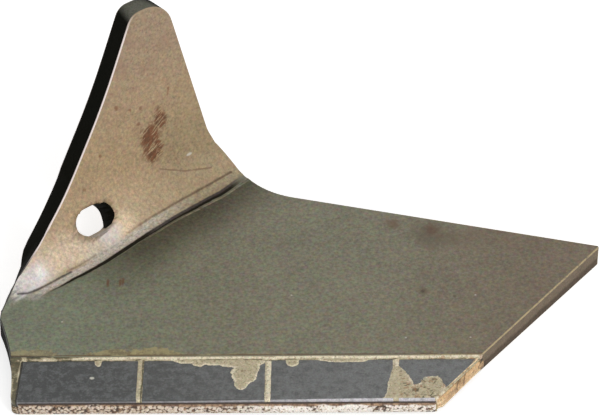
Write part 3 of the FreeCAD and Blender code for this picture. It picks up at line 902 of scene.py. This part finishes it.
def mark_rubbed_edges(mesh):
    """Marks the edges that the bevel rubs round: those between the sheet's faces and its sheared
    sides, and the upright ones between two sides. The slot's rim stays sharp."""
    form = bmesh.new()
    form.from_mesh(mesh)
    weights = form.edges.layers.float.new("bevel_weight_edge")
    sharp = math.radians(35)
    for edge in form.edges:
        if len(edge.link_faces) != 2 or edge.calc_face_angle() < sharp:
            continue
        first, second = (face.material_index for face in edge.link_faces)
        middle = ((edge.verts[0].co + edge.verts[1].co) / 2 - Vector(EDGE_END)) / MM
        at_slot = (middle - Vector(SLOT_CENTRE)).length < 12.5
        on_flank = middle.x < 60.0 and middle.y > 45.0 and first == second
        edge[weights] = 0.0 if at_slot or on_flank else 1.0
    form.to_mesh(mesh)
    form.free()


class WINGSHARE_OT_blade(bpy.types.Operator):
    """The bent blade, with its corners rubbed round"""
    bl_idname = "wing_share.blade"
    bl_label = "Blade"

    def execute(self, context):
        settings = context.scene.wing_share.blade
        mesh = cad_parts["wing_blade"].data.copy()
        mesh.name = "share_blade"
        mesh.materials.clear()
        form = bmesh.new()
        form.from_mesh(mesh)
        bmesh.ops.remove_doubles(form, verts=form.verts, dist=2e-6)
        bmesh.ops.dissolve_degenerate(form, edges=form.edges, dist=0.1 * MM)
        bmesh.ops.dissolve_limit(form, angle_limit=math.radians(0.6), verts=form.verts, edges=form.edges)
        # Faces of the sheet keep the mill scale, its sheared sides get their own finish
        along = Vector(BEND_RUN)
        ear_out = Vector((BEND_RUN[1], -BEND_RUN[0], math.tan(EAR_LEAN))).normalized()
        for face in form.faces:
            face.smooth = True
            height = face.calc_center_median().z / MM
            if height < PLATE_TOP + 0.2:
                sheet = abs(face.normal.z) > 0.6
            elif height < 45.0:
                sheet = abs(face.normal.dot(along)) < 0.3
            else:
                sheet = abs(face.normal.dot(ear_out)) > 0.7
            from_slot = (face.calc_center_median() - Vector(EDGE_END)) / MM - Vector(SLOT_CENTRE)
            if from_slot.length < 12.0:
                sheet = abs(face.normal.dot(Vector(SLOT_FACING))) > 0.5
            face.material_index = SCALE if sheet else SHEARED
        form.to_mesh(mesh)
        form.free()
        draw_in_flank(mesh)
        mark_rubbed_edges(mesh)
        materials = [scale_material(settings), sheared_material(settings), corner_material(settings)]
        blade = add_piece("share_blade", mesh, materials, ["wing_blade"])
        corners = blade.modifiers.new("rubbed corners", "BEVEL")
        corners.width = settings.corner
        corners.segments = 2
        corners.limit_method = "WEIGHT"
        corners.material = RUBBED_AND_LIT
        corners.use_clamp_overlap = False
        shading = blade.modifiers.new("even shading", "WEIGHTED_NORMAL")
        shading.mode = "FACE_AREA"
        shading.weight = 100
        return {"FINISHED"}


def right_edge_x(y):
    """Upper line of the slanted right side."""
    return CUTTING_END + RIGHT_SLOPE * y


def rounded_lines(length, corner, steps):
    """Places across a tile, closer together within its rounded corners."""
    near = corner * np.array([0.0, 0.08, 0.3, 0.6])
    return np.concatenate([near, np.linspace(corner, length - corner, steps), length - near[::-1]])


def tile_mesh(name, start, end, slanted, corner, lean=0.0):
    """A slab whose upper face drops to its sides by a quarter circle of the given radius. The
    slanted tile's end follows the blade's right side, and a leaning tile's start slants too."""
    u = rounded_lines(end - start, corner, 40)[:, None]
    v = rounded_lines(TILE_BACK, corner, 18)[None, :]
    x = start + u + v * RIGHT_SLOPE * slanted * u / (end - start) + v * lean * (1 - u / (end - start))

    def drop(distance):
        """Height lost at this distance from a side: a quarter circle's, and none past its radius."""
        inside = np.clip(1 - distance / corner, 0, 1)
        return corner * (1 - np.sqrt(1 - inside ** 2))

    fall = np.maximum(drop(np.minimum(u, end - start - u)), drop(np.minimum(v, TILE_BACK - v)))
    chips = np.clip(rough_waves(x, v + 0 * u, 2.0, 11) - 0.9, 0, 1) * 0.25 * (fall > 0)
    upper = place(x, v, TILE_TOP - fall - chips)
    lower = place(x, v, RECESS_FLOOR + BRAZE_BED)
    return closed_grid(name, upper, lower)


class WINGSHARE_OT_tiles(bpy.types.Operator):
    """The four carbide tiles"""
    bl_idname = "wing_share.tiles"
    bl_label = "Carbide tiles"

    def execute(self, context):
        settings = context.scene.wing_share.tiles
        material = carbide_material(settings)
        corner = settings.corner / MM
        for number, (start, end) in enumerate(TILE_ENDS, 1):
            name = "tile_%d" % number
            if number == 1:
                mesh = tile_mesh(name, TILE_LEAN[0], end, 0.0, corner, TILE_LEAN[1])
            else:
                mesh = tile_mesh(name, start, end, 0.0, corner)
            add_piece(name, mesh, [material], ["carbide_tile_%d" % number])
        mesh = tile_mesh("end_tile", END_TILE_START, CUTTING_END - END_TILE_INSET, 1.0, corner)
        add_piece("end_tile", mesh, [material], ["carbide_end_tile"])
        return {"FINISHED"}


def braze_heights(x, y, patch):
    """Height of the braze over the recess in millimetres, and its tone. It stays under the tiles'
    tops but for the seams, a fillet that climbs to the plate behind them, and the patches that ran
    over. Each patch is a cushion whose height falls with the ragged distance from its middle."""
    ragged = rough_waves(x, y, 3.0, 21, 4)
    fine = rough_waves(x, y, 0.9, 31, 2)
    # Blobs along the tiles' back edge, smooth as they set: their middles and half sizes
    blobs = ((89.4, 13.8, 5.0, 6.0), (88.1, 8.2, 2.5, 3.3), (91.3, 17.0, 4.1, 5.2), (87.5, 21.0, 9.5, 3.7),
             (78.5, 21.6, 6.5, 3.0), (71.5, 21.6, 3.4, 3.6), (66.0, 21.7, 5.0, 1.8),
             (31.6, 21.4, 1.5, 3.1), (107.8, 21.0, 2.7, 3.6), (129.0, 21.9, 10.5, 1.8))
    distances = [np.hypot((x - middle_x) / half_x, (y - middle_y) / half_y) + 0.07 * ragged
                 for middle_x, middle_y, half_x, half_y in blobs]
    # Two rough tongues that spread from the last seam, and two blobs in the end tile's corner
    left_width = np.maximum(3.9 * (1 - y / 19.5), 0.1)
    left_tongue = np.where((y < 19.5) & (x < 148.5), (147.9 - x) / left_width, 9.0)
    right_width = np.maximum(8.8 * np.abs(1 - y / 17.5) ** 0.6, 0.1)
    right_tongue = np.where((y < 17.5) & (x > 148.5), (x - 149.5) / right_width, 9.0)
    blob = np.hypot((x - 162.6) / 4.9, (y - 5.6) / 6.6)
    joined = np.where(x > 149.5, np.hypot((x - 157.5) / 5.5, y / 8.0), 9.0)
    distances += [left_tongue + 0.18 * ragged, right_tongue + 0.18 * ragged, blob + 0.14 * ragged,
                  joined + 0.2 * ragged]
    over = np.clip((1 - np.minimum.reduce(distances)) * 3.0, -1.5, 1.0)
    cracks = peak(rough_waves(x, y, 2.2, 61, 2), 0.0, 0.1) * ease((x - 149) / 2)
    tone = np.where(over > -0.2, 0.25 + 0.65 * peak(over, 0.25, 0.3) - 1.5 * cracks, 0.0)
    rough_end = 0.35 * ease((x - 149) / 3) * (over > 0)
    over = over * patch + np.where(over > -0.5, (0.3 * fine + rough_end * ragged) * patch, 0.0)

    seams = np.full(x.shape, -9.0)
    # Each seam: its tile's end, the side of its open line, its tone, and how dark the line is
    for (_, tile_end), open_side, seam_tone, darkness in zip(
            TILE_ENDS, (0.8, -0.85, -0.85), (0.35, 1.05, 1.05), (2.6, 0.6, 0.6)):
        middle = tile_end + SEAM_WIDTH / 2
        away = np.abs(x - middle + 0.15 * ragged) / (SEAM_WIDTH / 2)
        gap = peak(x - middle + 0.1 * ragged, open_side, 0.22)
        seams = np.maximum(seams, 0.14 - 0.5 * np.clip(away - 0.75, 0, 9) - 0.35 * gap + 0.05 * fine)
        in_seam = (away < 1.1) & (over < 0.6 * patch)
        tone = np.where(in_seam, seam_tone - darkness * gap + 0.2 * ease((4 - y) / 4), tone)
    shift = 0.3 * random_waves(x, y * 0, 9.0, 5) + 0.12 * random_waves(x, y * 0, 2.5, 6)
    climb = (y - (TILE_BACK + 0.25) + shift) / (RECESS_BACK - TILE_BACK - 0.25)
    opened = ease((random_waves(x, y * 0, 12.0, 8) + 0.35) * 1.5) * peak(climb, 0.02, 0.16)
    rear = np.where(climb > -0.35, -0.2 + 1.12 * ease(climb * 1.15 + 0.2) - 0.3 * opened, -9.0)
    on_fillet = climb > -0.2
    ridge_end = 0.22 + 0.5 * ease((x - 20) / 6)
    ridge = ease((climb + 0.05) / 0.2) * (1 - 1.1 * ease((climb - ridge_end) / 0.3))
    broken = (1 - ease((x - 20) / 6)) * ease(1.5 * rough_waves(x, y, 2.2, 71, 2) + 0.6)
    opened = np.maximum(opened, ease((x - 160) / 3) * peak(climb, -0.05, 0.2))
    tone = np.where(on_fillet, -0.1 + 1.15 * ridge - 1.5 * opened + 0.25 * fine - 1.1 * broken, tone)
    # Lug left of the first tile: olive, with a pale rim outside and a black line at the tile, the gap
    # darkened as the tile side's painted shadow
    tile_side = TILE_LEAN[0] + TILE_LEAN[1] * y
    left = np.where(x < tile_side + 0.1, -0.75 * ease((tile_side - x) / 3.0) + 0.06 * fine, -9.0)
    lug = -0.95 + 0.5 * ragged + 1.3 * peak(x, -1.7, 0.45) * (y < 12)
    lug = lug + 1.6 * peak(x - tile_side, -0.95, 0.25) * ease((y - 8) / 5)
    lug = lug - 4.0 * ease((x - tile_side + 0.55) / 0.2)
    tone = np.where((x < tile_side + 0.1) & (climb < 0), lug, tone)
    height = np.maximum(np.maximum(over, np.minimum(seams, 0.3)), np.maximum(rear, left))
    return np.clip(TILE_TOP + np.maximum(height, -1.5 * patch), None, PLATE_TOP + 0.1), tone


class WINGSHARE_OT_braze(bpy.types.Operator):
    """The braze metal round the tiles, and the band down the slanted end"""
    bl_idname = "wing_share.braze"
    bl_label = "Braze"

    def execute(self, context):
        settings = context.scene.wing_share.braze
        step = settings.step / MM
        u = np.linspace(CUTTING_START, CUTTING_END, int(166 / step))[:, None]
        # The skin's front stays a little behind the tiles' front faces
        v = np.linspace(0.06, RECESS_BACK, int(23 / step))[None, :]
        slant = np.clip((u - END_TILE_START) / (CUTTING_END - END_TILE_START), 0, 1)
        y = v + 0 * u
        # The left end follows the blade's side: an arc at the corner, then a slow curve
        radius = 2.5
        corner = np.clip(radius - y, 0, radius)
        arc = radius - np.sqrt(np.maximum(radius ** 2 - corner ** 2, 0))
        side = -1.7 - 0.0035 * (y - radius).clip(0) ** 2 + arc
        x = np.where(u < 0, np.maximum(u / CUTTING_START * side, side), u) + slant * RIGHT_SLOPE * v
        height, tone = braze_heights(x, y, settings.patch / MM)
        skin = closed_grid("braze_skin", place(x, y, height), place(x, y, RECESS_FLOOR), {"tone": tone})
        cream = braze_material("braze_flux", settings.olive, settings.ochre, settings.cream)
        add_piece("braze_skin", skin, [cream], ["braze_filler"])

        # Band down the right side: half an oval from the tiles' top to 6 to 7.5 mm below it
        run = np.linspace(0.0, RECESS_BACK, int(28 / step))[:, None]
        turn = np.linspace(-1.0, 1.0, 29)[None, :]
        height = 7.5 - 1.5 * run / RECESS_BACK - 1.2 * (1 - ease(run / 3.0))
        bulge = 0.9 * np.sqrt(np.clip(1 - np.minimum(turn, 0.0) ** 2, 0, 1))
        wave = rough_waves(run * 0.45, turn * 4.0, 2.5, 41, 4)
        outwards = np.where(turn > 0, 0.9 * np.cos(turn * math.pi / 2) - 1.1 * ease(turn), bulge)
        outwards = (outwards + 0.12 * wave * (1 - np.abs(turn))) * (0.35 + 0.65 * ease(run / 2.5)) - 0.12
        z = TILE_TOP - height / 2 + height / 2 * np.sin(turn * math.pi / 2) + 0.05 * wave
        z = np.minimum(z, TILE_TOP + 0.15)
        line = right_edge_x(run)
        upper = place(line + RIGHT_OUT[0] * outwards, run + RIGHT_OUT[1] * outwards, z)
        lower = place(line - RIGHT_OUT[0] * 1.3 + 0 * turn, run - RIGHT_OUT[1] * 1.3 + 0 * turn, z - 0.1)
        # Pale ridges along both rims, and a dark line inside each
        rim = peak(turn, 0.8, 0.15) + 0.8 * peak(turn, -0.55, 0.16)
        gap = peak(turn, 0.5, 0.08) + peak(turn, -0.9, 0.12)
        crack = peak(rough_waves(run * 0.8, turn * 3.0, 3.0, 47, 2), 0.0, 0.1)
        tone = 1.6 * rim - 0.8 * gap + 0.6 * wave - 1.3 * crack
        tone = tone - 1.6 * ease((run - 20.5) / 1.5) * ease(wave + 0.4)
        gold = braze_material("braze_gold", settings.gold_dark, settings.gold, settings.gold_light)
        band = closed_grid("braze_end_band", upper, lower, {"tone": tone})
        add_piece("braze_end_band", band, [gold], ["braze_filler"])
        return {"FINISHED"}


class WINGSHARE_OT_hardfacing(bpy.types.Operator):
    """The bead of hard granules along the front face"""
    bl_idname = "wing_share.hardfacing"
    bl_label = "Hardfacing"

    def execute(self, context):
        settings = context.scene.wing_share.bead
        step = settings.step / MM
        size = settings.grain / MM
        start, end = 1.1, 164.0
        foot, rise = 1.4, 5.7
        x = np.linspace(start, end, int(163 / step))[:, None]
        # The profile runs from the bead's lower edge round its front to its upper edge
        t = np.linspace(0.0, 1.0, 33)[None, :]
        z = foot + rise * t + 0 * x
        x = x + 0 * t
        round_front = (1 - (2 * t - 1) ** 2) ** 0.7
        warp = 0.45 * rough_waves(x, z, 1.6, 54, 2)
        grain, tag = grains(x + warp, z * 1.15 + warp, size, 51)
        small, small_tag = grains(x, z, size * 0.55, 53)
        coarse = rough_waves(x, z, 5.0, 52, 3)
        # The crust reaches higher at the left end
        top = 6.6 - 0.5 * ease((x - 38) / 16) + 0.4 * coarse
        crust = ease((top - z) / 0.5)
        # Two stretches where the granules are white
        white = ease((x - 100.5) / 2) * ease((116 - x) / 2) + ease((x - 118) / 2) * ease((139 - x) / 3)
        body = ease((grain - 0.38 + 0.2 * white + 0.1 * ease((x - 40) / 30)) * 4.0)
        relief = settings.relief / MM * (0.7 * body + 0.3 * ease(small * 2 - 0.5) - 0.7) * crust
        depth = round_front * (1.2 + 0.1 * coarse) * np.where(z > 5.6, 0.88, 1.0)
        depth = depth + relief * round_front ** 0.5
        depth = np.clip(depth, 0.0, 1.28) * np.sqrt(ease((x - 1.05) / 1.0) * ease((164.05 - x) / 1.2))
        share = 0.86 + 0.1 * white + 0.1 * coarse
        cream = crust * body * ease((share - tag) * 5 + 0.5)
        cream = cream * (1 - 0.75 * (small_tag > 0.9) * ease(small * 3 - 1))
        tone = np.clip(0.25 + 0.75 * white + 0.6 * ease((x - 40) / 80) + 0.5 * (small_tag - 0.5), 0, 1)
        # Painted shade along the bead's top under the tiles' fronts, and the darker matrix between grains
        shade = ease((t - 0.88) / 0.05) + crust * (1 - body) * (0.85 - 0.4 * white)
        shade = np.clip(shade + 0.4 * ease(-coarse - 0.3), 0, 1)
        upper = place(x, -depth, z)
        lower = place(x, 0.15 + 0 * x, z)
        mesh = closed_grid("hardfacing_crust", upper, lower, {"cream": cream, "tone": tone, "shade": shade})
        material = hardfacing_material(settings)
        add_piece("hardfacing_crust", mesh, [material], ["edge_hardfacing"])
        return {"FINISHED"}


class WINGSHARE_PT_panel(bpy.types.Panel):
    """Lists the pieces of the wing share"""
    bl_idname = "WINGSHARE_PT_panel"
    bl_label = "Wing Share"
    bl_space_type = "VIEW_3D"
    bl_region_type = "UI"
    bl_category = "Wing Share"

    def draw(self, context):
        settings = context.scene.wing_share
        for operator, group in ((WINGSHARE_OT_stage, settings.stage), (WINGSHARE_OT_blade, settings.blade),
                                (WINGSHARE_OT_tiles, settings.tiles), (WINGSHARE_OT_braze, settings.braze),
                                (WINGSHARE_OT_hardfacing, settings.bead)):
            box = self.layout.box()
            box.operator(operator.bl_idname)
            for name in group.bl_rna.properties.keys():
                if name not in ("rna_type", "name"):
                    box.prop(group, name)


CLASSES = (
    WingShareBlade,
    WingShareTiles,
    WingShareBraze,
    WingShareBead,
    WingShareStage,
    WingShareSettings,
    WINGSHARE_OT_stage,
    WINGSHARE_OT_blade,
    WINGSHARE_OT_tiles,
    WINGSHARE_OT_braze,
    WINGSHARE_OT_hardfacing,
    WINGSHARE_PT_panel,
)


def register():
    """Gives Blender the classes and the scene its settings."""
    for made in CLASSES:
        bpy.utils.register_class(made)
    bpy.types.Scene.wing_share = bpy.props.PointerProperty(type=WingShareSettings, name="Wing Share",
                                                           description="Settings of the wing share")


def unregister():
    """Takes away what register gave."""
    del bpy.types.Scene.wing_share
    for made in reversed(CLASSES):
        bpy.utils.unregister_class(made)


def main():
    """Makes the pieces in order."""
    register()
    bpy.context.scene.view_settings.view_transform = "Standard"
    for operator in (bpy.ops.wing_share.stage, bpy.ops.wing_share.blade, bpy.ops.wing_share.tiles,
                     bpy.ops.wing_share.braze, bpy.ops.wing_share.hardfacing):
        operator()


if __name__ == "__main__":
    main()
